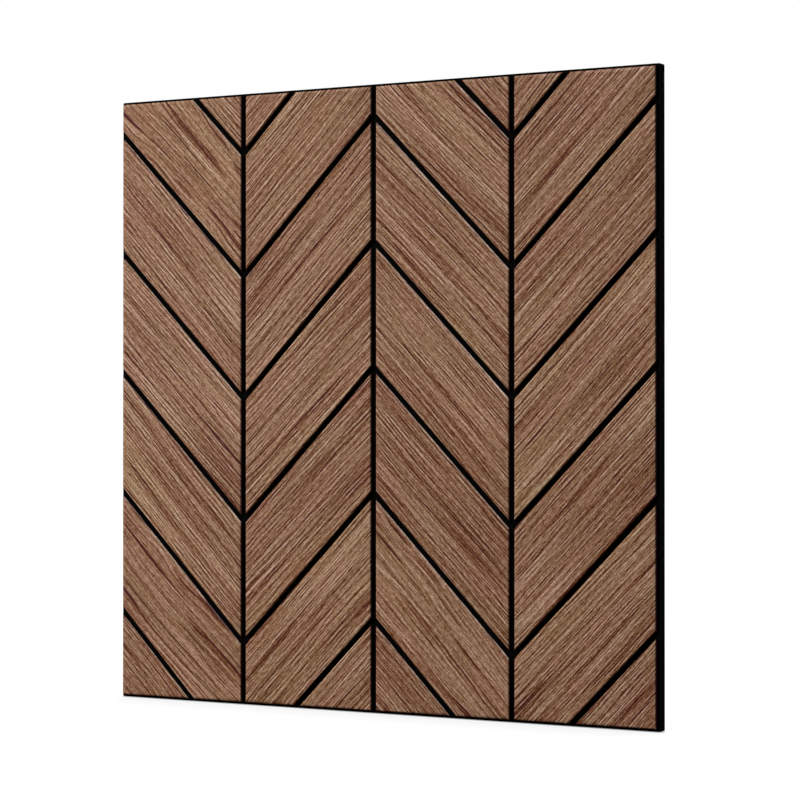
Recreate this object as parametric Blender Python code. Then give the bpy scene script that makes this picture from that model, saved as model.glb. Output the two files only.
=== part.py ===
"""A square wall panel of black-core MDF with a wood face, milled with a chevron of narrow grooves.

The panel lies against a wall. Its origin is the centre of the back face, +Z is up and -Y points
out into the room, so the back is in the plane Y = 0 and the wood is at the front.

The board is one piece. The grooves run right through the thin wood face and into the black core,
so the milling leaves the face as separate tiles, each glued to its own raised land of the board.
Half a groove is also milled along the four edges, so that two panels side by side make a whole
groove at their joint.

Upright grooves part the face into columns. Slanting grooves fall towards the middle of each pair
of columns and make the chevron. The tiles are counted from the top of each column.
"""

import math

import bmesh
import bpy
from mathutils import Vector

# Board, in metres
WIDTH = 0.600
HEIGHT = 0.600
BOARD_THICKNESS = 0.012
FACE_THICKNESS = 0.001
FACE_LIP = 0.0001
GLUE_LINE = 0.0003
CORNER_RADIUS = 0.0015
CORNER_STEPS = 4

# Milling
GROOVE_WIDTH = 0.0052
GROOVE_DEPTH = 0.003

# Chevron
COLUMNS = 4
SLANT_DEG = 45.0
ROW_PITCH = 0.120
FIRST_GROOVE_DROP = 0.030

# A land smaller than this would break off under the cutter, so none is left there
LEAST_TILE_AREA = 0.0001

# How far a land reaches down into the slab before the two are made one
ROOT = 0.001

# The cutter's chamfer takes the wood face's edge down to a narrow square lip
CHAMFER = FACE_THICKNESS - FACE_LIP

COLUMN_PITCH = WIDTH / COLUMNS
SLOPE = math.tan(math.radians(SLANT_DEG))
FALL = COLUMN_PITCH * SLOPE
GROOVES_ABOVE = math.floor((FIRST_GROOVE_DROP + FALL) / ROW_PITCH)
GROOVES_BELOW = math.floor((HEIGHT - FIRST_GROOVE_DROP) / ROW_PITCH)
FLOOR = BOARD_THICKNESS - GROOVE_DEPTH
FACE_BACK = BOARD_THICKNESS + GLUE_LINE
FACE_FRONT = FACE_BACK + FACE_THICKNESS


def clear_scene():
    """Remove every object that the scene starts with."""
    for item in list(bpy.data.objects):
        bpy.data.objects.remove(item, do_unlink=True)


def material(name, colour, roughness):
    """A plain Principled material."""
    finish = bpy.data.materials.new(name)
    finish.use_nodes = True
    shader = finish.node_tree.nodes["Principled BSDF"]
    shader.inputs["Base Color"].default_value = (*colour, 1.0)
    shader.inputs["Roughness"].default_value = roughness
    shader.inputs["Metallic"].default_value = 0.0
    return finish


def add_object(name, builder, finish):
    """Turn a bmesh into a named object at the origin."""
    mesh = bpy.data.meshes.new(name)
    bmesh.ops.recalc_face_normals(builder, faces=builder.faces)
    builder.to_mesh(mesh)
    builder.free()
    mesh.materials.append(finish)
    item = bpy.data.objects.new(name, mesh)
    bpy.context.scene.collection.objects.link(item)
    return item


def clip(outline, normal, limit):
    """Keep the part of a convex outline where the point's distance along normal is under limit."""
    kept = []
    for here, there in zip(outline, outline[1:] + outline[:1]):
        over_here = here.dot(normal) - limit
        over_there = there.dot(normal) - limit
        if over_here <= 0:
            kept.append(here)
        if over_here * over_there < 0:
            kept.append(here.lerp(there, over_here / (over_here - over_there)))
    return kept


def area(outline):
    """Area of an outline by the shoelace rule."""
    return 0.5 * abs(sum(a.x * b.y - a.y * b.x for a, b in zip(outline, outline[1:] + outline[:1])))


def groove_top(row):
    """Height of a slanting groove's centre line at its higher end, on an upright groove."""
    return HEIGHT / 2 - FIRST_GROOVE_DROP - row * ROW_PITCH


def tile_outline(column, row):
    """Outline in X and Z of the land under groove number row, between two upright grooves."""
    left = -WIDTH / 2 + column * COLUMN_PITCH
    right = left + COLUMN_PITCH
    falls_right = column % 2 == 0
    high_end = left if falls_right else right
    outward = Vector((SLOPE, 1.0)) if falls_right else Vector((-SLOPE, 1.0))
    outward.normalize()
    half = GROOVE_WIDTH / 2
    upper = outward.dot(Vector((high_end, groove_top(row)))) - half
    lower = outward.dot(Vector((high_end, groove_top(row + 1)))) + half
    bottom, top = -HEIGHT / 2, HEIGHT / 2
    outline = [Vector(corner) for corner in ((left, bottom), (right, bottom), (right, top), (left, top))]
    for normal, limit in (
        (Vector((-1.0, 0.0)), -left - half),
        (Vector((1.0, 0.0)), right - half),
        (Vector((0.0, -1.0)), -bottom - half),
        (Vector((0.0, 1.0)), top - half),
        (outward, upper),
        (-outward, -lower),
    ):
        outline = clip(outline, normal, limit)
    return outline


def tile_outlines():
    """Every land's outline by its node name, column by column and from the top down."""
    outlines = {}
    for column in range(COLUMNS):
        number = 0
        for row in range(-GROOVES_ABOVE - 1, GROOVES_BELOW + 1):
            outline = tile_outline(column, row)
            if len(outline) < 3 or area(outline) < LEAST_TILE_AREA:
                continue
            number += 1
            outlines[f"veneer_tile_c{column + 1}_r{number}"] = outline
    return outlines


def raise_outline(builder, outline, back, front):
    """Extrude an outline forwards, from one distance off the wall to another; returns its front."""
    ring = [builder.verts.new((point.x, -back, point.y)) for point in outline]
    rear = builder.faces.new(ring)
    grown = bmesh.ops.extrude_face_region(builder, geom=[rear], use_keep_orig=True)
    moved = [item for item in grown["geom"] if isinstance(item, bmesh.types.BMVert)]
    bmesh.ops.translate(builder, verts=moved, vec=(0.0, back - front, 0.0))
    return next(item for item in grown["geom"] if isinstance(item, bmesh.types.BMFace))


def board_outline():
    """The board's square with its four corners eased by an arc."""
    outline = []
    for quarter, (side_x, side_z) in enumerate(((1, 1), (-1, 1), (-1, -1), (1, -1))):
        centre = Vector((side_x * (WIDTH / 2 - CORNER_RADIUS), side_z * (HEIGHT / 2 - CORNER_RADIUS)))
        for step in range(CORNER_STEPS + 1):
            turn = math.radians(90.0 * (quarter + step / CORNER_STEPS))
            outline.append(centre + CORNER_RADIUS * Vector((math.cos(turn), math.sin(turn))))
    return outline


def build_board(outlines, finish):
    """The MDF board: a slab as thick as the groove floor, with a raised land under each tile."""
    slab = bmesh.new()
    raise_outline(slab, board_outline(), 0.0, FLOOR)
    board = add_object("mdf_board", slab, finish)

    lands = bmesh.new()
    for outline in outlines.values():
        raise_outline(lands, outline, FLOOR - ROOT, BOARD_THICKNESS)
    raised = add_object("lands", lands, finish)
    raised.hide_render = True
    raised.display_type = "WIRE"

    union = board.modifiers.new("lands", "BOOLEAN")
    union.operation = "UNION"
    union.solver = "EXACT"
    union.object = raised
    return board


def build_tile(name, outline, finish):
    """One tile of the wood face, with a chamfer round its front."""
    tile = bmesh.new()
    front = raise_outline(tile, outline, FACE_BACK, FACE_FRONT - CHAMFER)
    tile.normal_update()
    bmesh.ops.inset_individual(
        tile, faces=[front], thickness=CHAMFER, depth=CHAMFER, use_even_offset=True
    )
    return add_object(name, tile, finish)


def main():
    """Build the board and the tiles of its face."""
    clear_scene()
    core = material("black_mdf", (0.003, 0.003, 0.003), 0.55)
    wood = material("brown_veneer", (0.235, 0.130, 0.080), 0.60)
    outlines = tile_outlines()
    build_board(outlines, core)
    for name, outline in outlines.items():
        build_tile(name, outline, wood)


main()
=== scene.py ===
"""Looks of a square wall panel: black-core MDF with a brushed wood face, milled with a chevron.

Each tile of the wood face is rebuilt as a fine mesh whose rows run along the grain, so that the
brushed pores are real hollows. The board gets eased edges. All lengths are in metres, in the
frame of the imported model: X to the right, Z up, and -Y out of the wall.
"""

import logging
import math
from dataclasses import dataclass, field
from enum import Enum

import bmesh
import bpy
import numpy as np
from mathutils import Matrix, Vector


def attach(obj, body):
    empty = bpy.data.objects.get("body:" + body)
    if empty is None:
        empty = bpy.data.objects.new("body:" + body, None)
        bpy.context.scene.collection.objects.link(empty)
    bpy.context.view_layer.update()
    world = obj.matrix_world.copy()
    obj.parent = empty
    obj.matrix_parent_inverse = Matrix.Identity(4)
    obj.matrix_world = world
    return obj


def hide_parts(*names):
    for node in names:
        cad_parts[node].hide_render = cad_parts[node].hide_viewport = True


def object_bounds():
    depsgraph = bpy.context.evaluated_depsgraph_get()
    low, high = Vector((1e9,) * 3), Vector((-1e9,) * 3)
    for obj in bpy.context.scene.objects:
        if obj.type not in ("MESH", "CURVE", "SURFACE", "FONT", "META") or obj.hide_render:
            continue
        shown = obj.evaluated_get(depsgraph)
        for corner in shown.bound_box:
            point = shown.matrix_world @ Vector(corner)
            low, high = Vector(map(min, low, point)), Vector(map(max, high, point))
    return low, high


MM = 0.001

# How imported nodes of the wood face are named, and what their pieces are called instead
TILE_NODE = "veneer_tile"
TILE_PIECE = "wood_face"

# The wood's own map and attributes, which its mesh holds and its material reads
GRAIN_MAP = "grain"
TONE = "tone"
BROAD = "broad"

# Decimals of a metre that packed places and row heights are rounded to
PLACE_DIGITS = 6
ROW_DIGITS = 9

# Distances within which vertices are one, and a mesh's place is at a level or on a side
MERGE_REACH = 1e-6
LEVEL_SLACK = 0.01 * MM

# Distance within which a place that was just worked out is on a side
SIDE_SLACK = 1e-7

# How far beyond a side's ends, as a share of it, a row may still cross it
SHARE_SLACK = 1e-6

# The least linear light that any colour gives back
LEAST_LIGHT = 0.001

WHITE = (1.0, 1.0, 1.0, 1.0)

Colour = tuple[float, float, float, float]
Marks = tuple[tuple[float, tuple[float, float]], ...]
Socket = bpy.types.NodeSocket

LOG = logging.getLogger("panel")

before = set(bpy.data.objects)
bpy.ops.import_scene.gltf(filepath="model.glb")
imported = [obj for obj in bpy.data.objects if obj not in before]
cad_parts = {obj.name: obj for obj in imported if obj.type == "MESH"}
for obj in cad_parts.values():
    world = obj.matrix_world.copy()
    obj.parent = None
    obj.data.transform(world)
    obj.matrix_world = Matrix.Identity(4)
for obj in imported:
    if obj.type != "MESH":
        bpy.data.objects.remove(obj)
packed_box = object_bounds()


class Slant(Enum):
    """Which way the slanting grooves of a column run, and the wood's grain with them."""

    FALLING = -1.0
    RISING = 1.0

    @property
    def along(self) -> np.ndarray:
        """Unit vector along the grain, in X and Z, pointing to the right."""
        return np.array([1.0, self.value]) / math.sqrt(2.0)

    @property
    def across(self) -> np.ndarray:
        """Unit vector across the grain, in X and Z, pointing up."""
        return np.array([-self.value, 1.0]) / math.sqrt(2.0)

    def to_grain(self, rows: np.ndarray) -> np.ndarray:
        """Rows of X and Z turned into rows of distance along and across the grain."""
        return np.stack([rows @ self.along, rows @ self.across], axis=1)

    def to_wall(self, rows: np.ndarray) -> np.ndarray:
        """Rows of distance along and across the grain turned into rows of X and Z."""
        return rows[:, :1] * self.along + rows[:, 1:] * self.across


def colour_of(red: int, green: int, blue: int, veil: float = 0.0,
              tint: tuple[float, float, float] = (1.0, 1.0, 1.0)) -> Colour:
    """Linear colour of a screen colour, by the usual screen curve.

    Args:
        red, green, blue: screen values from 0 to 255.
        veil: linear light taken off, to allow for the sheen that lies over the colour.
        tint: factors on the linear red, green and blue.

    Returns:
        Red, green, blue and alpha for a shader socket.
    """
    screen = np.array([red, green, blue]) / 255.0
    linear = np.where(screen <= 0.04045, screen / 12.92, ((screen + 0.055) / 1.055) ** 2.4)
    return (*(float(part) for part in np.maximum(linear - veil, LEAST_LIGHT) * tint), 1.0)


def rows_of(items: bpy.types.bpy_prop_collection, name: str = "co") -> np.ndarray:
    """A mesh property that holds three numbers for each item.

    Args:
        items: the mesh's vertices or faces.
        name: the property, which is the vertices' place unless another is named.

    Returns:
        An array with a row for each item.
    """
    flat = np.empty(len(items) * 3)
    items.foreach_get(name, flat)
    return flat.reshape(-1, 3)


@dataclass(frozen=True)
class Ripple:
    """A smooth random surface with lattice cells of a given length along and width across.

    Random heights stand on a lattice that repeats after `side` cells. Between them the height
    follows the eased curve 6t^5 - 15t^4 + 10t^3 in both directions, and `gain` brings the
    result to a standard deviation of about one, as `line_spread` does for the thin lines.
    """

    length: float
    width: float
    seed: int
    side: int = 256
    gain: float = 1.28
    line_spread: float = 1.22

    def lines(self, along: np.ndarray, across: np.ndarray, apart: float) -> np.ndarray:
        """Height less the mean of the heights on both sides, which leaves separate thin lines."""
        sides = self.at(along, across + apart) + self.at(along, across - apart)
        return (self.at(along, across) - 0.5 * sides) / self.line_spread

    def at(self, along: np.ndarray, across: np.ndarray) -> np.ndarray:
        """Height at each place.

        Args:
            along: distances along the grain.
            across: distances across the grain, an array of the same shape.

        Returns:
            An array of that shape.
        """
        heights = np.random.default_rng(self.seed).standard_normal((self.side, self.side))
        x, y = along / self.length, across / self.width
        column, row = np.floor(x).astype(int), np.floor(y).astype(int)
        ease_x, ease_y = (t**3 * (t * (6.0 * t - 15.0) + 10.0) for t in (x - column, y - row))
        left, right = column % self.side, (column + 1) % self.side
        low, high = row % self.side, (row + 1) % self.side
        below = heights[low, left] * (1.0 - ease_x) + heights[low, right] * ease_x
        above = heights[high, left] * (1.0 - ease_x) + heights[high, right] * ease_x
        return self.gain * (below * (1.0 - ease_y) + above * ease_y)


@dataclass(frozen=True)
class Grain:
    """The figure of the wood: what is dark and pale, and how deep the brush has cut.

    Places are along and across the grain. The lines wander slowly from side to side, so every
    layer is read at a place that the wander's ripples have pushed across the grain. Bands are
    weighted ripples, threads are thin lines with a weight and the distance to the sides that
    they are set against, and streaks have a weight and the level above which they show. Swing,
    fineness and streakiness are factors on the wander, the threads and the streaks.
    """

    wander: tuple[tuple[float, Ripple], ...] = (
        (1.3 * MM, Ripple(210 * MM, 60 * MM, 11)),
        (0.25 * MM, Ripple(45 * MM, 11 * MM, 12)),
    )
    bands: tuple[tuple[float, Ripple], ...] = (
        (0.105, Ripple(100 * MM, 1.2 * MM, 24)),
        (0.022, Ripple(150 * MM, 9.0 * MM, 22)),
        (0.018, Ripple(200 * MM, 26 * MM, 21)),
        (0.015, Ripple(80 * MM, 80 * MM, 27)),
    )
    threads: tuple[tuple[float, float, Ripple], ...] = (
        (0.110, 1.2 * MM, Ripple(18 * MM, 0.9 * MM, 31)),
        (0.077, 1.2 * MM, Ripple(8 * MM, 0.9 * MM, 32)),
        (0.060, 2.0 * MM, Ripple(45 * MM, 1.5 * MM, 33)),
    )
    streaks: tuple[tuple[float, float, Ripple], ...] = (
        (0.20, 1.0, Ripple(110 * MM, 2.2 * MM, 41)),
        (0.16, 1.1, Ripple(45 * MM, 1.3 * MM, 42)),
    )
    pore_level: float = 0.10
    pore_soft: float = 0.16
    pore_dark: float = 0.10
    bow: float = 0.35
    swing: float = 1.0
    fineness: float = 1.0
    streakiness: float = 1.0

    def bent(self, along: np.ndarray, across: np.ndarray) -> np.ndarray:
        """Place across the grain after the lines' slow wander."""
        pushes = [reach * ripple.at(along, across) for reach, ripple in self.wander]
        return across + self.swing * sum(pushes)

    def brushed_lines(self, along: np.ndarray, bent: np.ndarray) -> np.ndarray:
        """The thin lines that the brush has left: a weighted sum, dark below 0 and pale above."""
        lines = [weight * ripple.lines(along, bent, apart) for weight, apart, ripple in self.threads]
        return self.fineness * sum(lines)

    def stains(self, along: np.ndarray, bent: np.ndarray) -> np.ndarray:
        """Darkness of the broader streaks, which are the parts of a ripple above a level."""
        parts = [weight * np.clip(ripple.at(along, bent) - level, 0.0, 1.0)
                 for weight, level, ripple in self.streaks]
        return self.streakiness * sum(parts)

    def pores(self, along: np.ndarray, across: np.ndarray) -> np.ndarray:
        """How deep in a pore each place is.

        The pores are where the thin lines are darkest, eased over a soft edge by 3t^2 - 2t^3.

        Args:
            along: distances along the grain.
            across: distances across the grain, an array of the same shape.

        Returns:
            An array of that shape, 0 outside the pores and 1 at their middle.
        """
        depth = -self.brushed_lines(along, self.bent(along, across))
        rise = np.clip((depth - self.pore_level) / self.pore_soft, 0.0, 1.0)
        return rise * rise * (3.0 - 2.0 * rise)

    def broad(self, along: np.ndarray, across: np.ndarray) -> np.ndarray:
        """Paleness of the broad bands alone, which are all but the first."""
        bent = self.bent(along, across)
        return sum(weight * ripple.at(along, bent) for weight, ripple in self.bands[1:])

    def tone(self, along: np.ndarray, across: np.ndarray) -> np.ndarray:
        """Paleness of the wood, with a mean near 0.

        It is t - bow * t^2, which draws out the dark end, where t is the bands and thin lines
        less the streaks and pores.

        Args:
            along: distances along the grain.
            across: distances across the grain, an array of the same shape.

        Returns:
            An array of that shape.
        """
        bent = self.bent(along, across)
        bands = sum(weight * ripple.at(along, bent) for weight, ripple in self.bands)
        dark = self.stains(along, bent) + self.pore_dark * self.pores(along, across)
        figure = bands + self.brushed_lines(along, bent) - dark
        return figure - self.bow * figure**2


@dataclass(frozen=True)
class Cut:
    """Where in the sheet of wood a tile was cut from, its lean and its paleness."""

    along: float
    across: float
    lean: float
    tone: float


@dataclass(frozen=True)
class Sheet:
    """The square sheet of wood that every tile is cut from, each about a degree askew."""

    side: float = 4.0
    askew_deg: float = 0.9
    seed: int = 7

    def cut(self, number: int, tone: float) -> Cut:
        """Draw a random place and lean for one tile.

        Args:
            number: the tile's number, which fixes the draw.
            tone: how much paler than the others it is.

        Returns:
            The cut.
        """
        chance = np.random.default_rng((self.seed, number))
        return Cut(
            along=float(chance.uniform(0.0, self.side)),
            across=float(chance.uniform(0.0, self.side)),
            lean=math.radians(float(chance.normal(0.0, self.askew_deg))),
            tone=tone,
        )


class Graph:
    """A material's node tree, with short calls that add nodes and join them."""

    def __init__(self, name: str) -> None:
        """Start a material that holds a Principled shader.

        Args:
            name: the material's name.
        """
        self.material = bpy.data.materials.new(name)
        self.material.use_nodes = True
        self.tree = self.material.node_tree
        self.shader = self.tree.nodes["Principled BSDF"]

    def join(self, value: object, end: Socket) -> None:
        """Link a socket to a node's input, or set the input to a plain value.

        Args:
            value: the socket or the plain value.
            end: the input.
        """
        if isinstance(value, Socket):
            self.tree.links.new(value, end)
        else:
            end.default_value = value

    def fill(self, node: bpy.types.Node, **inputs: object) -> None:
        """Join sockets or plain values to a node's inputs, named with _ for a space."""
        for name, value in inputs.items():
            self.join(value, node.inputs[name.replace("_", " ")])

    def node(self, kind: str, settings: dict[str, object] | None = None,
             **inputs: object) -> bpy.types.Node:
        """Add a node.

        Args:
            kind: the node's type after ShaderNode.
            settings: its properties by name.
            inputs: what goes into its inputs, as in fill.

        Returns:
            The node.
        """
        made = self.tree.nodes.new("ShaderNode" + kind)
        for name, value in (settings or {}).items():
            setattr(made, name, value)
        self.fill(made, **inputs)
        return made

    def attribute(self, name: str) -> Socket:
        """A number that each vertex of the mesh holds."""
        return self.node("Attribute", {"attribute_name": name}).outputs["Fac"]

    def reckon(self, operation: str, *values: object) -> Socket:
        """A math node's result.

        Args:
            operation: what it does.
            values: the sockets or numbers that go in, in their order.

        Returns:
            The socket of the result.
        """
        made = self.node("Math", {"operation": operation})
        for value, end in zip(values, made.inputs):
            self.join(value, end)
        return made.outputs["Value"]

    def sums(self, *terms: tuple[float, Socket], start: float = 0.0) -> Socket:
        """A weighted sum of sockets, made of multiply-add nodes.

        Args:
            terms: each weight with its socket.
            start: what the sum starts from.

        Returns:
            The socket of the sum.
        """
        total: object = start
        for weight, socket in terms:
            total = self.reckon("MULTIPLY_ADD", socket, weight, total)
        return total

    def product(self, first: Socket, *others: Socket) -> Socket:
        """The product of two or more sockets, made of multiply nodes.

        Args:
            first: a socket.
            others: what it is multiplied by.

        Returns:
            The socket of the product.
        """
        total = first
        for other in others:
            total = self.reckon("MULTIPLY", total, other)
        return total

    def share(self, value: Socket, low: float, high: float, least: float = 0.0) -> Socket:
        """A share that rises in a straight line as a value goes from low to high.

        Args:
            value: the value's socket.
            low: the value where the share is least.
            high: the value where the share is 1.
            least: the least share.

        Returns:
            The socket of the share.
        """
        made = self.node("MapRange", Value=value, From_Min=low, From_Max=high, To_Min=least, To_Max=1.0)
        return made.outputs["Result"]

    def noise(self, place: Socket, cell: tuple[float, float, float], detail: float = 2.0) -> Socket:
        """Noise with cells of a given size along each axis of a place.

        Args:
            place: the place's socket.
            cell: the cells' three sizes.
            detail: how many finer layers lie over it.

        Returns:
            The socket of the noise, which is a half on average.
        """
        stretched = self.node("Mapping", Vector=place, Scale=tuple(1 / size for size in cell))
        made = self.node("TexNoise", Vector=stretched.outputs["Vector"], Scale=1.0, Detail=detail)
        return made.outputs["Fac"]

    def ramp(self, factor: Socket, stops: tuple[tuple[float, Colour], ...]) -> Socket:
        """A colour ramp through the given stops.

        Args:
            factor: the socket that chooses the colour.
            stops: places from 0 to 1, each with its colour.

        Returns:
            The socket of the colour.
        """
        made = self.node("ValToRGB", Fac=factor)
        band = made.color_ramp
        # New stops start halfway, and every stop is then moved to its own place
        while len(band.elements) < len(stops):
            band.elements.new(0.5)
        for element, (place, colour) in zip(band.elements, stops):
            element.position = place
            element.color = colour
        return made.outputs["Color"]

    def blend(self, share: Socket, first: Socket, second: Socket) -> Socket:
        """A colour between two others.

        Args:
            share: how much of the second there is, from 0 to 1.
            first: the first colour's socket.
            second: the second colour's socket.

        Returns:
            The socket of the blend.
        """
        made = self.node("Mix", {"data_type": "RGBA"}, Factor=share)
        ends = [end for end in made.inputs if end.type == "RGBA"]
        for colour, end in zip((first, second), ends):
            self.join(colour, end)
        return next(end for end in made.outputs if end.type == "RGBA")

    def emboss(self, height: Socket, strength: float, depth: float) -> None:
        """Give the shader fine bumps of a given depth that follow a height."""
        bump = self.node("Bump", Strength=strength, Distance=depth, Height=height)
        self.fill(self.shader, Normal=bump.outputs["Normal"])


@dataclass(frozen=True)
class BrownVeneer:
    """Brushed brown wood with darker pores, whose pale broad bands are also yellower.

    Each of the fibres is a noise with its weight, length and width. The cloud is a noise with
    its length and width, and where it rises through its span the tint goes from olive to warm.
    Each stop is a tone with its screen colour. The polish is how much smoother the palest wood
    is than the darkest.
    """

    fibres: tuple[tuple[float, float, float], ...] = (
        (0.62, 2.1 * MM, 0.95 * MM),
        (0.43, 6.0 * MM, 2.6 * MM),
    )
    cloud: tuple[float, float] = (90.0 * MM, 22.0 * MM)
    cloud_span: tuple[float, float] = (0.38, 0.62)
    olive: tuple[float, float, float] = (0.983, 1.017, 0.945)
    warm: tuple[float, float, float] = (1.027, 0.970, 0.968)
    yellowing: float = 0.8
    veil: float = 0.014
    stops: tuple[tuple[int, int, int, int], ...] = (
        (40, 69, 32, 12),
        (66, 96, 57, 36),
        (93, 120, 84, 62),
        (120, 144, 111, 90),
        (143, 165, 135, 115),
        (170, 190, 163, 145),
    )
    roughness: float = 0.50
    polish: float = 0.16
    shine: float = 0.14
    bump: float = 0.35
    bump_depth: float = 0.06 * MM

    def stained(self, tint: tuple[float, float, float]) -> tuple[tuple[float, Colour], ...]:
        """The wood's colours under a tint, from the darkest at 0 to the palest at 1.

        Args:
            tint: factors on red, green and blue.

        Returns:
            The stops of a colour ramp.
        """
        darkest, palest = self.stops[0][0], self.stops[-1][0]
        return tuple(
            ((tone - darkest) / (palest - darkest), colour_of(red, green, blue, self.veil, tint))
            for tone, red, green, blue in self.stops
        )

    def build(self) -> bpy.types.Material:
        """The material.

        Returns:
            A material that reads the wood's own map and attributes.
        """
        graph = Graph("brown_veneer")
        place = graph.node("UVMap", {"uv_map": GRAIN_MAP}).outputs["UV"]
        fibres = [
            (weight, graph.noise(place, (along, across, 1.0), detail=0.0))
            for weight, along, across in self.fibres
        ]
        middle = -0.5 * sum(weight for weight, _ in fibres)
        shade = graph.sums((1.0, graph.attribute(TONE)), *fibres, start=middle)
        warmth = graph.share(graph.noise(place, (*self.cloud, 1.0)), *self.cloud_span)
        olive, warm = (graph.ramp(shade, self.stained(tint)) for tint in (self.olive, self.warm))
        parts = graph.node("SeparateColor", Color=graph.blend(warmth, olive, warm)).outputs
        blueness = graph.sums((-self.yellowing, graph.attribute(BROAD)), start=1.0)
        blue = graph.product(parts["Blue"], blueness)
        colour = graph.node("CombineColor", Red=parts["Red"], Green=parts["Green"], Blue=blue)
        graph.fill(
            graph.shader,
            Base_Color=colour.outputs["Color"],
            Roughness=graph.sums((-self.polish, shade), start=self.roughness + 0.5 * self.polish),
            Specular_IOR_Level=self.shine,
        )
        graph.emboss(fibres[0][1], self.bump, self.bump_depth)
        return graph.material


@dataclass(frozen=True)
class BlackMdf:
    """Black-dyed MDF with faint flecks of fibre: charcoal outside, and black where it is milled.

    The black where it is milled is painted shade in the grooves and rebates. The milling starts at
    the grooves' floor, so the change lies at that height off the wall, over the width of its
    edge. The flecks are fine fibres and larger clumps, each a noise with its weight and size, and
    each colour goes from its first to its second over their span.
    """

    floor: float
    edge: float = 0.1 * MM
    fibre: tuple[float, float] = (0.7, 0.9 * MM)
    clump: tuple[float, float] = (0.3, 6.0 * MM)
    span: tuple[float, float] = (0.35, 0.68)
    # Painted shade: the milled grooves and rebates are far darker than the outside
    milled_shade: tuple[tuple[int, int, int], ...] = ((3, 3, 3), (8, 7, 7))
    outside: tuple[tuple[int, int, int], ...] = ((24, 23, 23), (39, 37, 36))
    roughness: float = 0.72
    roughening: float = 0.2
    shine: float = 0.01
    bump: float = 0.4
    bump_depth: float = 0.08 * MM

    def build(self) -> bpy.types.Material:
        """The material.

        Returns:
            A material on object coordinates.
        """
        graph = Graph("black_mdf")
        place = graph.node("TexCoord").outputs["Object"]
        fibre = graph.noise(place, (self.fibre[1],) * 3, detail=4.0)
        clump = graph.noise(place, (self.clump[1],) * 3)
        shade = graph.sums((self.fibre[0], fibre), (self.clump[0], clump))
        # Painted shade: darker colours where milled, charcoal outside
        milled_shade, outside = (
            graph.ramp(shade, tuple((at, colour_of(*screen)) for at, screen in zip(self.span, colours)))
            for colours in (self.milled_shade, self.outside)
        )
        depth = graph.node("SeparateXYZ", Vector=place).outputs["Y"]
        behind = graph.share(depth, -self.floor, self.edge - self.floor)
        graph.fill(
            graph.shader,
            Base_Color=graph.blend(behind, milled_shade, outside),
            Roughness=graph.sums((self.roughening, fibre), start=self.roughness - 0.5 * self.roughening),
            Specular_IOR_Level=self.shine,
        )
        graph.emboss(fibre, self.bump, self.bump_depth)
        return graph.material


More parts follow.
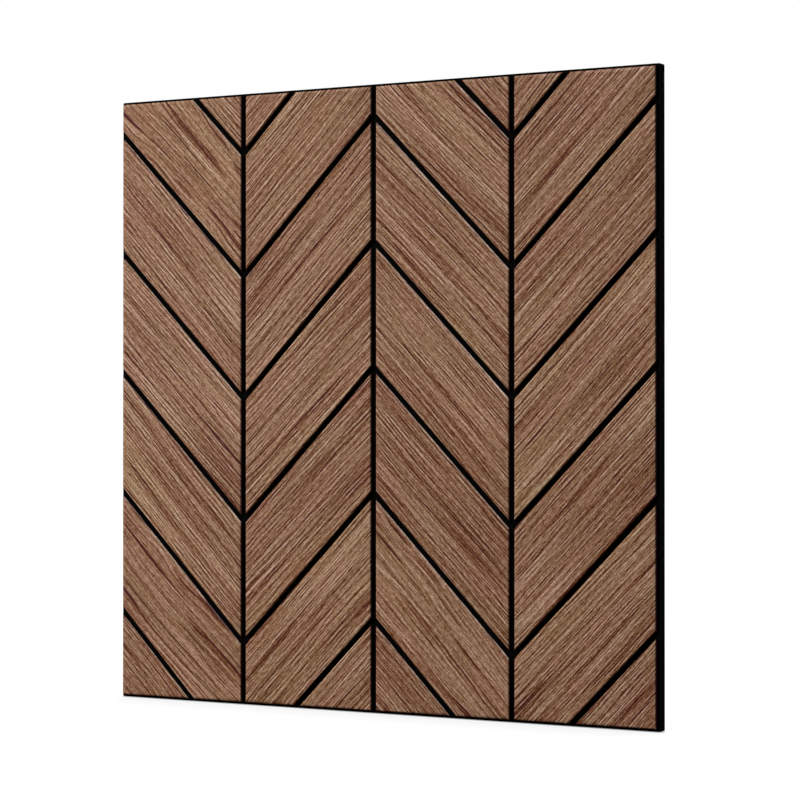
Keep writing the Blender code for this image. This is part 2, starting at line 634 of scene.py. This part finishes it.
@dataclass
class WoodTile:
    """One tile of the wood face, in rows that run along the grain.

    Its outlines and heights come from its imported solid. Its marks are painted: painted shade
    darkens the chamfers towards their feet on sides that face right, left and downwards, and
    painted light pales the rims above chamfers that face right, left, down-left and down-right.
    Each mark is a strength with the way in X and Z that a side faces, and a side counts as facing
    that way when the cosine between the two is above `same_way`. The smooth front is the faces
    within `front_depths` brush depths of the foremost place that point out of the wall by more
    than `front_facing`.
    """

    node: str
    grain: Grain
    cut: Cut
    across_step: float = 0.3 * MM
    along_step: float = 4.0 * MM
    brush_depth: float = 0.07 * MM
    # Painted shade: darkens the chamfers' feet on sides facing right, left, down, down-left and down-right
    chamfer_painted_shades: Marks = (
        (0.80, (1.0, 0.0)),
        (0.80, (-1.0, 0.0)),
        (0.35, (0.0, -1.0)),
        (0.30, (-0.7071, -0.7071)),
        (0.20, (0.7071, -0.7071)),
    )
    # Painted light: pales the rims above chamfers facing right, left, down-left and down-right
    rim_painted_lights: Marks = (
        (0.12, (1.0, 0.0)),
        (0.02, (-1.0, 0.0)),
        (0.05, (-0.7071, -0.7071)),
        (0.05, (0.7071, -0.7071)),
    )
    middle: float = 0.475
    same_way: float = 0.9
    front_depths: float = 1.5
    front_facing: float = 0.75
    slant: Slant = field(init=False)
    back: float = field(init=False)
    front: float = field(init=False)
    chamfer: float = field(init=False)
    outer: np.ndarray = field(init=False)
    inner: np.ndarray = field(init=False)
    centre: np.ndarray = field(init=False)

    def __post_init__(self) -> None:
        """Read the column from the tile's name, and its heights and outlines from its solid.

        Odd columns fall and even ones rise. The chamfer is as wide as it is deep.
        """
        column = int(self.node.split("_c")[1].split("_")[0])
        self.slant = Slant.FALLING if column % 2 else Slant.RISING
        self.outer, (self.back, foot, self.front) = self.packed_shape()
        self.chamfer = self.front - foot
        self.inner = self.inset()
        self.centre = self.outer.mean(axis=0)

    def packed_shape(self) -> tuple[np.ndarray, list[float]]:
        """The tile's outline and heights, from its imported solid.

        Returns:
            Corners in order round the tile as rows of distance along and across the grain, and
            the heights off the wall of its back, its chamfer's foot and its front.
        """
        places = rows_of(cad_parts[self.node].data.vertices)
        height = -places[:, 1]
        levels = np.unique(np.round(height, PLACE_DIGITS)).tolist()
        rear = places[np.abs(height - levels[0]) < LEVEL_SLACK][:, [0, 2]]
        corners = self.slant.to_grain(np.unique(np.round(rear, PLACE_DIGITS), axis=0))
        angle = np.arctan2(*(corners - corners.mean(axis=0)).T[::-1])
        return corners[np.argsort(angle)], levels

    @staticmethod
    def sides(corners: np.ndarray) -> tuple[np.ndarray, np.ndarray]:
        """The sides of a convex outline, each as a line n.p = d.

        Args:
            corners: the outline's corners in order.

        Returns:
            The outward normals n and the distances d.
        """
        run = np.roll(corners, -1, axis=0) - corners
        normals = np.stack([run[:, 1], -run[:, 0]], axis=1) / np.linalg.norm(run, axis=1)[:, None]
        return normals, np.einsum("ij,ij->i", normals, corners)

    def inset(self) -> np.ndarray:
        """The outline moved inwards by the chamfer.

        Each new corner is where its two sides meet once both have moved, so it solves
        n1.p = d1 - chamfer and n2.p = d2 - chamfer.

        Returns:
            The new corners, in the same order.
        """
        normals, distances = self.sides(self.outer)
        before = np.roll(normals, 1, axis=0)
        pairs = np.stack([before, normals], axis=1)
        reach = np.stack([np.roll(distances, 1), distances], axis=1) - self.chamfer
        return np.linalg.solve(pairs, reach[..., None])[..., 0]

    def front_grid(self) -> np.ndarray:
        """Places on the front in rows along the grain.

        A row at height v runs between the least and the greatest crossing of the sides with
        that height, so the rows' ends follow the outline.

        Returns:
            An array of rows, columns and two distances, along and across.
        """
        start, stop = self.inner, np.roll(self.inner, -1, axis=0)
        levels = np.unique(np.round(self.inner[:, 1], ROW_DIGITS))
        parts = [
            np.linspace(low, high, max(2, math.ceil((high - low) / self.across_step)), endpoint=False)
            for low, high in zip(levels[:-1], levels[1:])
        ]
        heights = np.concatenate([*parts, levels[-1:]])
        rise = stop[:, 1] - start[:, 1]
        slanted = np.abs(rise) > SIDE_SLACK
        start, stop, rise = start[slanted], stop[slanted], rise[slanted]
        share = (heights[:, None] - start[:, 1]) / rise
        met = (share > -SHARE_SLACK) & (share < 1.0 + SHARE_SLACK)
        crossing = start[:, 0] + np.clip(share, 0.0, 1.0) * (stop[:, 0] - start[:, 0])
        first = np.where(met, crossing, np.inf).min(axis=1)
        last = np.where(met, crossing, -np.inf).max(axis=1)
        columns = math.ceil((last - first).max() / self.along_step) + 1
        share = np.linspace(0.0, 1.0, columns)
        along = first[:, None] + share * (last - first)[:, None]
        return np.stack([along, np.broadcast_to(heights[:, None], along.shape)], axis=2)

    def pushed_out(self, rim: np.ndarray) -> np.ndarray:
        """The rim of the front moved out to the foot of the chamfer.

        A place on m sides with normals summing to s moves by chamfer * m * s / |s|^2, which is
        straight out from one side, and to the mitred corner where two meet.

        Args:
            rim: places round the front, along and across the grain.

        Returns:
            The moved places.
        """
        normals, distances = self.sides(self.inner)
        touched = np.abs(rim @ normals.T - distances) < SIDE_SLACK
        total = touched @ normals
        share = touched.sum(axis=1)[:, None] * total / (total**2).sum(axis=1)[:, None]
        return rim + self.chamfer * share

    def sheet_place(self, flat: np.ndarray) -> np.ndarray:
        """Places in the sheet of wood that the tile was cut from, turned by the tile's lean.

        Args:
            flat: places along and across the grain, in the last axis.

        Returns:
            Places in the sheet, in an array of the same shape.
        """
        cos, sin = math.cos(self.cut.lean), math.sin(self.cut.lean)
        centred = flat - self.centre
        along = centred[..., 0] * cos + centred[..., 1] * sin
        across = centred[..., 1] * cos - centred[..., 0] * sin
        return np.stack([along + self.cut.along, across + self.cut.across], axis=-1)

    def build(self, finish: bpy.types.Material) -> bpy.types.Object:
        """Make the tile.

        The front is a grid sunk by the pores, the chamfer and the sides are strips round it,
        and the back is a ladder of rungs between the rows' two ends.

        Args:
            finish: its material.

        Returns:
            The tile's object.
        """
        grid = self.front_grid()
        rows, columns = grid.shape[:2]
        sheet = self.sheet_place(grid)
        sunk = self.brush_depth * self.grain.pores(sheet[..., 0], sheet[..., 1])
        numbers = np.arange(rows * columns).reshape(rows, columns)
        rim = np.concatenate([numbers[0, :-1], numbers[:-1, -1], numbers[-1, :0:-1], numbers[:0:-1, 0]])
        foot = self.pushed_out(grid.reshape(-1, 2)[rim])

        flat = np.concatenate([grid.reshape(-1, 2), foot, foot])
        height = np.concatenate([
            self.front - sunk.ravel(),
            np.full(len(foot), self.front - self.chamfer),
            np.full(len(foot), self.back),
        ])
        wall = self.slant.to_wall(flat)
        places = np.stack([wall[:, 0], -height, wall[:, 1]], axis=1)

        cells = np.stack([numbers[:-1, :-1], numbers[:-1, 1:], numbers[1:, 1:], numbers[1:, :-1]], axis=-1)
        foot_numbers = rows * columns + np.arange(len(rim))
        back_numbers = foot_numbers + len(rim)
        faces = [
            *cells.reshape(-1, 4).tolist(),
            *self.strip(rim, foot_numbers).tolist(),
            *self.strip(foot_numbers, back_numbers).tolist(),
            *self.rungs(back_numbers, rows, columns),
        ]
        tile = self.object_of(places, faces, finish)
        LOG.info("%s: %d faces", tile.name, len(tile.data.polygons))
        return tile

    @staticmethod
    def strip(inside: np.ndarray, outside: np.ndarray) -> np.ndarray:
        """Four-sided faces between two closed rings of vertex numbers."""
        return np.stack([inside, outside, np.roll(outside, -1), np.roll(inside, -1)], axis=1)

    @staticmethod
    def rungs(ring: np.ndarray, rows: int, columns: int) -> list[list[int]]:
        """Faces across the back, each between two neighbouring rows' ends.

        The lowest and the highest face also take in every corner of the outermost row.

        Args:
            ring: vertex numbers round the back: along the lowest row, up the right-hand ends,
                back along the highest row and down the left-hand ends.
            rows: how many rows there are.
            columns: how many places a row has.

        Returns:
            Each face's vertex numbers.
        """
        low_right = columns - 1
        top_right = low_right + rows - 1
        top_left = top_right + columns - 1
        right = ring[low_right:top_right + 1]
        left = np.concatenate([ring[:1], ring[:top_left - 1:-1]])
        low, top = ring[:columns], ring[top_right:top_left + 1]
        ladder = np.stack([left[1:-2], left[2:-1], right[2:-1], right[1:-2]], axis=1)
        return [
            *ladder.tolist(),
            [*low.tolist(), int(right[1]), int(left[1])],
            [*top.tolist(), int(left[-2]), int(right[-2])],
        ]

    def object_of(self, places: np.ndarray, faces: list[list[int]],
                  finish: bpy.types.Material) -> bpy.types.Object:
        """Turn places and faces into the finished object, with its grain map and tone.

        Args:
            places: vertex places as rows, of which some may coincide.
            faces: each face's vertex numbers.
            finish: the material.

        Returns:
            The object, with coinciding vertices merged and its normals outwards.
        """
        name = self.node.replace(TILE_NODE, TILE_PIECE)
        mesh = bpy.data.meshes.new(name)
        mesh.from_pydata(places.tolist(), [], faces)
        builder = bmesh.new()
        builder.from_mesh(mesh)
        bmesh.ops.remove_doubles(builder, verts=builder.verts, dist=MERGE_REACH)
        bmesh.ops.recalc_face_normals(builder, faces=builder.faces)
        builder.to_mesh(mesh)
        builder.free()
        mesh.materials.append(finish)
        self.dress(mesh)
        self.smooth(mesh)
        tile = bpy.data.objects.new(name, mesh)
        bpy.context.scene.collection.objects.link(tile)
        return tile

    def marks(self, flat: np.ndarray, corners: np.ndarray, marked: Marks) -> np.ndarray:
        """How strongly each place is marked for lying on certain sides of an outline.

        Args:
            flat: places along and across the grain.
            corners: the outline.
            marked: strengths, each with the way in X and Z that its side faces.

        Returns:
            For each place, the strongest mark of the sides it lies on, or 0.
        """
        normals, distances = self.sides(corners)
        touched = np.abs(flat @ normals.T - distances) < LEVEL_SLACK
        ways = np.array([way for _, way in marked])
        strengths = np.array([strength for strength, _ in marked])
        cosines = self.slant.to_wall(normals) @ ways.T
        side_marks = ((cosines > self.same_way) * strengths).max(axis=1)
        return (touched * side_marks).max(axis=1)

    def dress(self, mesh: bpy.types.Mesh) -> None:
        """Give the mesh its grain map, its tone and the paleness of its broad bands.

        On sides that face certain ways, painted shade darkens the chamfer towards its foot and
        painted light makes the rim above it paler.

        Args:
            mesh: the tile's mesh.
        """
        places = rows_of(mesh.vertices)
        flat = self.slant.to_grain(places[:, [0, 2]])
        sheet = self.sheet_place(flat)
        figure = self.grain.tone(sheet[:, 0], sheet[:, 1])
        tone = self.middle + self.cut.tone + figure - figure.mean()
        # Painted light on the rims and painted shade on the chamfers' feet, by the way each side faces
        tone += self.marks(flat, self.inner, self.rim_painted_lights) - self.marks(flat, self.outer, self.chamfer_painted_shades)
        broad = self.cut.tone + self.grain.broad(sheet[:, 0], sheet[:, 1])
        for name, values in ((TONE, tone), (BROAD, broad)):
            layer = mesh.attributes.new(name, "FLOAT", "POINT")
            layer.data.foreach_set("value", values.astype(np.float32))
        corners = np.empty(len(mesh.loops), dtype=np.int32)
        mesh.loops.foreach_get("vertex_index", corners)
        grain_map = mesh.uv_layers.new(name=GRAIN_MAP)
        grain_map.uv.foreach_set("vector", sheet[corners].astype(np.float32).ravel())

    def smooth(self, mesh: bpy.types.Mesh) -> None:
        """Shade the front smoothly, and the chamfers, sides and back flatly.

        Args:
            mesh: the tile's mesh.
        """
        foremost = rows_of(mesh.vertices)[:, 1].min()
        normals, centres = rows_of(mesh.polygons, "normal"), rows_of(mesh.polygons, "center")
        on_front = centres[:, 1] < foremost + self.front_depths * self.brush_depth
        mesh.polygons.foreach_set("use_smooth", on_front & (normals[:, 1] < -self.front_facing))
        mesh.update()


@dataclass
class BoardBody:
    """The MDF board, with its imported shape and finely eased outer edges.

    Faces that meet at less than the flat limit are made one, and a place belongs to the outside
    when it is less than the rim's width from the left, right, bottom or top.
    """

    node: str = "mdf_board"
    piece: str = "board_body"
    flat_limit: float = math.radians(1.0)
    rim: float = 2.0 * MM
    ease: float = 0.35 * MM
    steps: int = 2

    def groove_floor(self) -> float:
        """Height off the wall of the grooves' floor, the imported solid's middle level."""
        places = rows_of(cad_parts[self.node].data.vertices)
        return float(np.unique(np.round(-places[:, 1], PLACE_DIGITS))[1])

    def build(self, land: float, finish: bpy.types.Material) -> bpy.types.Object:
        """Make the board.

        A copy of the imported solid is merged, its lands are raised to the tiles' backs so that
        the glue line shows no gap, and the edges round its outside are bevelled.

        Args:
            land: height off the wall that the lands rise to.
            finish: its material.

        Returns:
            The board's object.
        """
        builder = bmesh.new()
        builder.from_mesh(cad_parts[self.node].data)
        bmesh.ops.remove_doubles(builder, verts=builder.verts, dist=MERGE_REACH)
        bmesh.ops.dissolve_limit(
            builder, angle_limit=self.flat_limit, verts=builder.verts, edges=builder.edges
        )
        mesh = bpy.data.meshes.new(self.piece)
        builder.to_mesh(mesh)
        builder.free()
        places = rows_of(mesh.vertices)
        raised = places[:, 1] <= places[:, 1].min() + LEVEL_SLACK
        places[raised, 1] = -land
        mesh.vertices.foreach_set("co", places.ravel())
        mesh.materials.append(finish)
        mesh.update()
        board = bpy.data.objects.new(self.piece, mesh)
        bpy.context.scene.collection.objects.link(board)
        self.soften(board)
        LOG.info("%s: %d faces", board.name, len(mesh.polygons))
        return board

    def soften(self, board: bpy.types.Object) -> None:
        """Bevel the level edges round the outside, which have both ends at the rim.

        Args:
            board: the board's object.
        """
        mesh = board.data
        places = rows_of(mesh.vertices)
        wall = places[:, [0, 2]]
        outside = (wall < wall.min(axis=0) + self.rim) | (wall > wall.max(axis=0) - self.rim)
        ends = np.empty(len(mesh.edges) * 2, dtype=np.int32)
        mesh.edges.foreach_get("vertices", ends)
        ends = ends.reshape(-1, 2)
        level = np.abs(places[ends[:, 0], 1] - places[ends[:, 1], 1]) < LEVEL_SLACK
        eased = outside.any(axis=1)[ends].all(axis=1) & level
        weight = mesh.attributes.new("bevel_weight_edge", "FLOAT", "EDGE")
        weight.data.foreach_set("value", eased.astype(np.float32))
        bevel = board.modifiers.new("eased_edges", "BEVEL")
        bevel.width = self.ease
        bevel.segments = self.steps
        bevel.limit_method = "WEIGHT"
        bevel.harden_normals = False


@dataclass(frozen=True)
class Lamp:
    """A square soft light that points at the panel's middle.

    One that doesn't light matt surfaces is seen only in their gloss.
    """

    name: str
    place: tuple[float, float, float]
    size: float
    power: float
    lights_matt: bool = True

    def build(self) -> None:
        """Make the light."""
        data = bpy.data.lights.new(self.name, "AREA")
        data.shape = "SQUARE"
        data.size = self.size
        data.energy = self.power
        lamp = bpy.data.objects.new(self.name, data)
        x, y, z = self.place
        lamp.location = self.place
        lamp.rotation_euler = (math.atan2(math.hypot(x, y), z), 0.0, math.atan2(y, x) + math.pi / 2)
        lamp.visible_diffuse = self.lights_matt
        bpy.context.scene.collection.objects.link(lamp)


@dataclass
class Studio:
    """A white floor and sky, a soft key light up and to the left, one behind, and the camera.

    Each painted contact shadow is how far off the floor feels the panel, with the least share of
    its glow that is left there. The share grows to 1 as the floor's openness goes through its span.
    """

    focal_px: float = 2682.0
    frame_px: float = 800.0
    sensor_mm: float = 36.0
    yaw: float = math.radians(31.127)
    pitch: float = math.radians(0.337)
    camera_place: tuple[float, float, float] = (1.34268, -2.18728, -0.01656)
    nearest: float = 0.05
    farthest: float = 50.0
    floor_size: float = 80.0
    floor_gap: float = 0.5 * MM
    floor_paint: Colour = (0.02, 0.02, 0.02, 1.0)
    floor_roughness: float = 0.9
    # Painted contact shadows on the glowing floor
    painted_contact_shadows: tuple[tuple[float, float], ...] = ((90.0 * MM, 0.88), (3.0 * MM, 0.50))
    painted_shadow_rays: int = 16
    painted_shadow_openness: tuple[float, float] = (0.5, 0.97)
    sky_seen: float = 1.0
    sky_cast: float = 0.08
    lamps: tuple[Lamp, ...] = (
        Lamp("key", (-2.50, -5.00, 5.00), 1.2, 640.0),
        Lamp("fill", (-1.40, -0.85, 0.15), 0.5, 9.0),
        Lamp("glint", (1.40, -1.46, 3.45), 0.6, 380.0, lights_matt=False),
        Lamp("rear", (-1.60, 3.40, 2.40), 1.2, 600.0),
    )

    def camera(self) -> None:
        """Make the camera: its lens is the sensor's width times focal length over frame width."""
        data = bpy.data.cameras.new("camera")
        data.sensor_width = self.sensor_mm
        data.lens = self.sensor_mm * self.focal_px / self.frame_px
        data.clip_start, data.clip_end = self.nearest, self.farthest
        camera = bpy.data.objects.new("camera", data)
        camera.location = self.camera_place
        camera.rotation_euler = (math.pi / 2 + self.pitch, 0.0, self.yaw)
        bpy.context.scene.collection.objects.link(camera)
        bpy.context.scene.camera = camera

    def floor(self, level: float) -> None:
        """A white floor just under the panel, which greys where the panel is very near.

        Its glow is the product of the painted contact shadows' shares, so the greying is painted shadow.

        Args:
            level: height of the panel's lowest point.
        """
        half = self.floor_size / 2
        mesh = bpy.data.meshes.new("floor")
        corners = [(-half, -half), (half, -half), (half, half), (-half, half)]
        mesh.from_pydata([(x, y, level - self.floor_gap) for x, y in corners], [], [(0, 1, 2, 3)])
        graph = Graph("floor")
        painted_shadow_shares = []
        # Painted contact shadow: ambient occlusion dims the floor's glow near the panel
        for reach, least in self.painted_contact_shadows:
            painted_shadow_ao = graph.node("AmbientOcclusion", {"samples": self.painted_shadow_rays}, Distance=reach)
            painted_shadow_shares.append(graph.share(painted_shadow_ao.outputs["AO"], *self.painted_shadow_openness, least))
        graph.fill(
            graph.shader,
            Base_Color=self.floor_paint,
            Roughness=self.floor_roughness,
            Specular_IOR_Level=0.0,
            Emission_Color=WHITE,
            Emission_Strength=graph.product(*painted_shadow_shares),
        )
        mesh.materials.append(graph.material)
        floor = bpy.data.objects.new("floor", mesh)
        bpy.context.scene.collection.objects.link(floor)
        floor.visible_diffuse = False
        floor.visible_glossy = False

    def sky(self) -> None:
        """White behind the panel, and a weaker even light from all round.

        The two strengths are told apart by whether the ray comes from the camera.
        """
        world = bpy.data.worlds.new("sky")
        world.use_nodes = True
        tree = world.node_tree
        cast, seen = tree.nodes["Background"], tree.nodes.new("ShaderNodeBackground")
        path, mix = tree.nodes.new("ShaderNodeLightPath"), tree.nodes.new("ShaderNodeMixShader")
        ends = [end for end in mix.inputs if end.type == "SHADER"]
        for glow, strength, end in zip((cast, seen), (self.sky_cast, self.sky_seen), ends):
            glow.inputs["Color"].default_value = WHITE
            glow.inputs["Strength"].default_value = strength
            tree.links.new(glow.outputs["Background"], end)
        tree.links.new(path.outputs["Is Camera Ray"], mix.inputs["Fac"])
        tree.links.new(mix.outputs["Shader"], tree.nodes["World Output"].inputs["Surface"])
        bpy.context.scene.world = world

    def build(self, level: float) -> None:
        """Make the whole studio.

        Args:
            level: height of the panel's lowest point.
        """
        bpy.context.scene.view_settings.view_transform = "Standard"
        bpy.context.scene.view_settings.look = "None"
        self.camera()
        self.floor(level)
        self.sky()
        for lamp in self.lamps:
            lamp.build()


@dataclass
class Panel:
    """The whole panel: the board and the tiles of its wood face.

    A few tiles are flat-sawn: their lines wander more, with fainter threads and darker streaks.
    """

    grain: Grain = Grain()
    flat_sawn_grain: Grain = Grain(swing=4.0, fineness=0.6, streakiness=2.4)
    flat_sawn: tuple[str, ...] = ("veneer_tile_c3_r6", "veneer_tile_c1_r2", "veneer_tile_c1_r6")
    sheet: Sheet = Sheet()
    tone_seed: int = 273912
    tone_spread: float = 0.019
    body: str = "root"
    core_slot: str = "core"
    face_slot: str = "face"

    def tiles(self) -> list[WoodTile]:
        """Every tile, with its grain and its own place in the sheet of wood.

        Returns:
            The tiles in the order of their nodes' names.
        """
        nodes = sorted(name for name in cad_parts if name.startswith(TILE_NODE))
        tones = self.tone_spread * np.random.default_rng(self.tone_seed).standard_normal(len(nodes))
        grains = [self.flat_sawn_grain if node in self.flat_sawn else self.grain for node in nodes]
        return [
            WoodTile(node, grain, self.sheet.cut(number, tone))
            for number, (node, grain, tone) in enumerate(zip(nodes, grains, tones.tolist()))
        ]

    def place(self, piece: bpy.types.Object, node: str, slot: str) -> None:
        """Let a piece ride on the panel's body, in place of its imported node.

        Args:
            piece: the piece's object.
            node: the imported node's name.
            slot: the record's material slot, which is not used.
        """
        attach(piece, self.body)
        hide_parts(node)

    def build(self) -> None:
        """Make and dress every piece."""
        board, tiles = BoardBody(), self.tiles()
        veneer, core = BrownVeneer().build(), BlackMdf(board.groove_floor()).build()
        self.place(board.build(tiles[0].back, core), board.node, self.core_slot)
        for tile in tiles:
            self.place(tile.build(veneer), tile.node, self.face_slot)
        LOG.info("%d tiles", len(tiles))


def main() -> None:
    Panel().build()
    Studio().build(packed_box[0].z)


if __name__ == "__main__":
    logging.basicConfig(level=logging.INFO, format="%(name)s: %(message)s")
    main()
